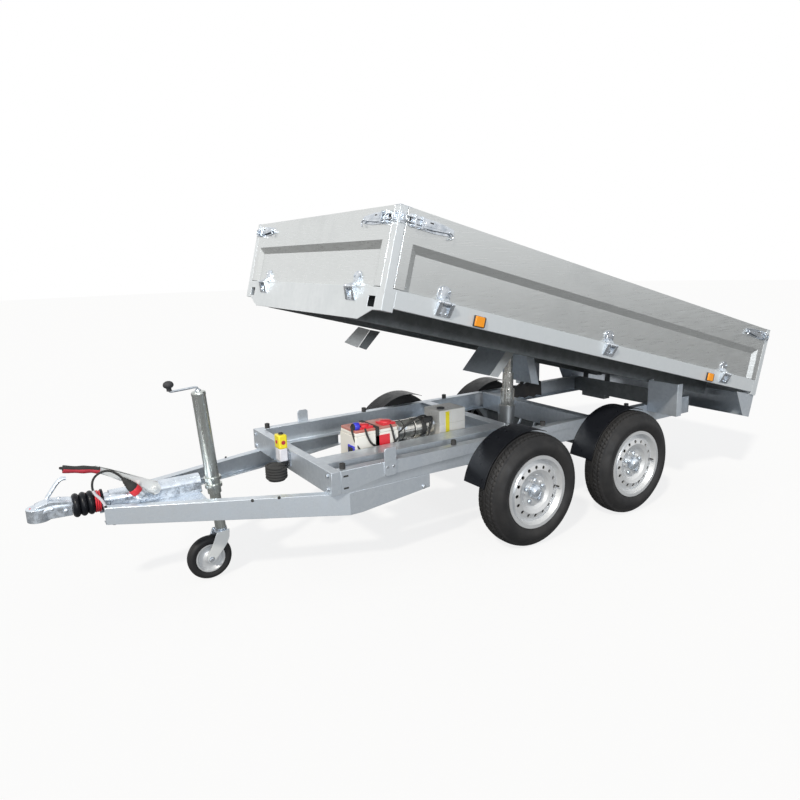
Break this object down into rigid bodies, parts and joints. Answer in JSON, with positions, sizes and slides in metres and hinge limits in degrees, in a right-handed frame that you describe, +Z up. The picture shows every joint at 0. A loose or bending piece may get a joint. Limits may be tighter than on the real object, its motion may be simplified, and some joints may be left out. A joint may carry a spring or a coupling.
{
  "type": "dump trailer",
  "caption": "Tandem-axle car trailer with a hydraulically tipped drop-side bed, bent drawbar, overrun ball coupling and jockey wheel, parked with its bed raised.",
  "frame": {"origin": "on the ground, under the middle of the trailer's overall box", "axes": "+X forward to the coupling, +Y to the trailer's left, +Z up"},
  "size_m": [3.9564, 1.511, 1.6049],
  "materials": {
    "galvanised": "galvanised, faint spangle",
    "board": "satin sheet",
    "floor": "galvanised sheet",
    "zinc": "bright zinc",
    "casting": "zinc-plated pressing",
    "black_rubber": "matt",
    "tyre": "matt, slightly dusty",
    "rim": "silver lacquer",
    "black_plastic": "matt",
    "red_grip": "red grip on a zinc arm",
    "battery_case": "pale case, red lid",
    "motor": "plated",
    "tank": "white, translucent",
    "pendant": "yellow and white",
    "red_lens": "moulded lens",
    "amber_lens": "moulded lens",
    "ram_steel": "dark, oiled"
  },
  "bodies": {
    "chassis": {"axles": "galvanised", "battery_box": "battery_case", "bellows": "black_rubber", "brake_lever": "red_grip", "buffers": "black_rubber", "coupling_handle": "casting", "coupling_head": "casting", "coupling_housing": "casting", "cross_beams": "galvanised", "drawbar": "galvanised", "guard_plates": "galvanised", "hinge_blocks": "galvanised", "jockey_tube": "zinc", "mudguards": "black_plastic", "oil_tank": "tank", "pendant": "pendant", "plug": "black_plastic", "plug_lead": "black_plastic", "pump_motor": "motor", "rails": "galvanised", "ram_cradle": "galvanised"},
    "bed": {"bed_beams": "galvanised", "bed_cross_beams": "galvanised", "bed_floor": "floor", "bed_hinges": "zinc", "corner_posts": "galvanised", "end_skirts": "galvanised", "hinge_ears": "galvanised", "light_bar": "galvanised", "ram_brackets": "galvanised", "rear_lamps": "red_lens", "side_markers": "amber_lens", "side_skirts": "galvanised"},
    "board_front": {"board_front": "board", "fittings_front": "zinc"},
    "board_left": {"board_left": "board", "fittings_left": "zinc"},
    "board_rear": {"board_rear": "board", "fittings_rear": "zinc"},
    "board_right": {"board_right": "board", "fittings_right": "zinc"},
    "jockey_fork": {"jockey_fork": "zinc"},
    "jockey_leg": {"jockey_leg": "zinc"},
    "jockey_wheel": {"jockey_rim": "rim", "jockey_tyre": "black_rubber"},
    "ram_barrel": {"ram_barrel": "ram_steel"},
    "ram_stage_1": {"ram_stage_1": "ram_steel"},
    "ram_stage_2": {"ram_stage_2": "ram_steel"},
    "ram_stage_3": {"ram_stage_3": "ram_steel"},
    "wheel_front_left": {"rim_front_left": "rim", "tyre_front_left": "tyre"},
    "wheel_front_right": {"rim_front_right": "rim", "tyre_front_right": "tyre"},
    "wheel_rear_left": {"rim_rear_left": "rim", "tyre_rear_left": "tyre"},
    "wheel_rear_right": {"rim_rear_right": "rim", "tyre_rear_right": "tyre"}
  },
  "joints": [
    {"name": "bed_tip", "type": "hinge", "parent": "chassis", "child": "bed", "pos_m": [-1.63, 0, 0.575], "axis": [0, -1, 0], "range_deg": [-14.6, 30.4]},
    {"name": "left_board", "type": "hinge", "parent": "bed", "child": "board_left", "pos_m": [-0.57488, 0.7465, 0.95566], "axis": [-0.9677, 0, -0.2521], "range_deg": [0, 180]},
    {"name": "right_board", "type": "hinge", "parent": "bed", "child": "board_right", "pos_m": [-0.57488, -0.7465, 0.95566], "axis": [0.9677, 0, 0.2521], "range_deg": [0, 180]},
    {"name": "front_board", "type": "hinge", "parent": "bed", "child": "board_front", "pos_m": [0.75185, 0, 1.30124], "axis": [0, 1, 0], "range_deg": [0, 90]},
    {"name": "rear_board", "type": "hinge", "parent": "bed", "child": "board_rear", "pos_m": [-1.90742, 0, 0.60855], "axis": [0, -1, 0], "range_deg": [0, 180]},
    {"name": "ram_swing", "type": "hinge", "parent": "chassis", "child": "ram_barrel", "pos_m": [-0.51, 0, 0.2], "axis": [0, -1, 0], "range_deg": [-7, 14]},
    {"name": "ram_stage_1_slide", "type": "slide", "parent": "ram_barrel", "child": "ram_stage_1", "axis": [-0.0449, 0, 0.999], "range_m": [-0.09151, 0.18999]},
    {"name": "ram_stage_2_slide", "type": "slide", "parent": "ram_stage_1", "child": "ram_stage_2", "axis": [-0.0449, 0, 0.999], "range_m": [-0.09151, 0.18999]},
    {"name": "ram_stage_3_slide", "type": "slide", "parent": "ram_stage_2", "child": "ram_stage_3", "axis": [-0.0449, 0, 0.999], "range_m": [-0.09151, 0.18999]},
    {"name": "jockey_slide", "type": "slide", "parent": "chassis", "child": "jockey_leg", "axis": [0.0698, 0, 0.9976], "range_m": [0, 0.15]},
    {"name": "jockey_swivel", "type": "hinge", "parent": "jockey_leg", "child": "jockey_fork", "pos_m": [1.245, 0.04, 0.4], "axis": [0.0698, 0, 0.9976], "continuous": true},
    {"name": "jockey_wheel_spin", "type": "hinge", "parent": "jockey_fork", "child": "jockey_wheel", "pos_m": [1.29511, 0.04, 0.1], "axis": [0, 1, 0], "continuous": true},
    {"name": "wheel_front_left_spin", "type": "hinge", "parent": "chassis", "child": "wheel_front_left", "pos_m": [-0.1265, 0.6085, 0.284], "axis": [0, 1, 0], "continuous": true},
    {"name": "wheel_front_right_spin", "type": "hinge", "parent": "chassis", "child": "wheel_front_right", "pos_m": [-0.1265, -0.6085, 0.284], "axis": [0, 1, 0], "continuous": true},
    {"name": "wheel_rear_left_spin", "type": "hinge", "parent": "chassis", "child": "wheel_rear_left", "pos_m": [-0.8535, 0.6085, 0.284], "axis": [0, 1, 0], "continuous": true},
    {"name": "wheel_rear_right_spin", "type": "hinge", "parent": "chassis", "child": "wheel_rear_right", "pos_m": [-0.8535, -0.6085, 0.284], "axis": [0, 1, 0], "continuous": true}
  ],
  "couplings": [
    {"joint": "ram_swing", "follows": "bed_tip", "ratio": 0.41},
    {"joint": "ram_stage_1_slide", "follows": "bed_tip", "m_per_rad": 0.35714},
    {"joint": "ram_stage_2_slide", "follows": "bed_tip", "m_per_rad": 0.35714},
    {"joint": "ram_stage_3_slide", "follows": "bed_tip", "m_per_rad": 0.35714}
  ]
}
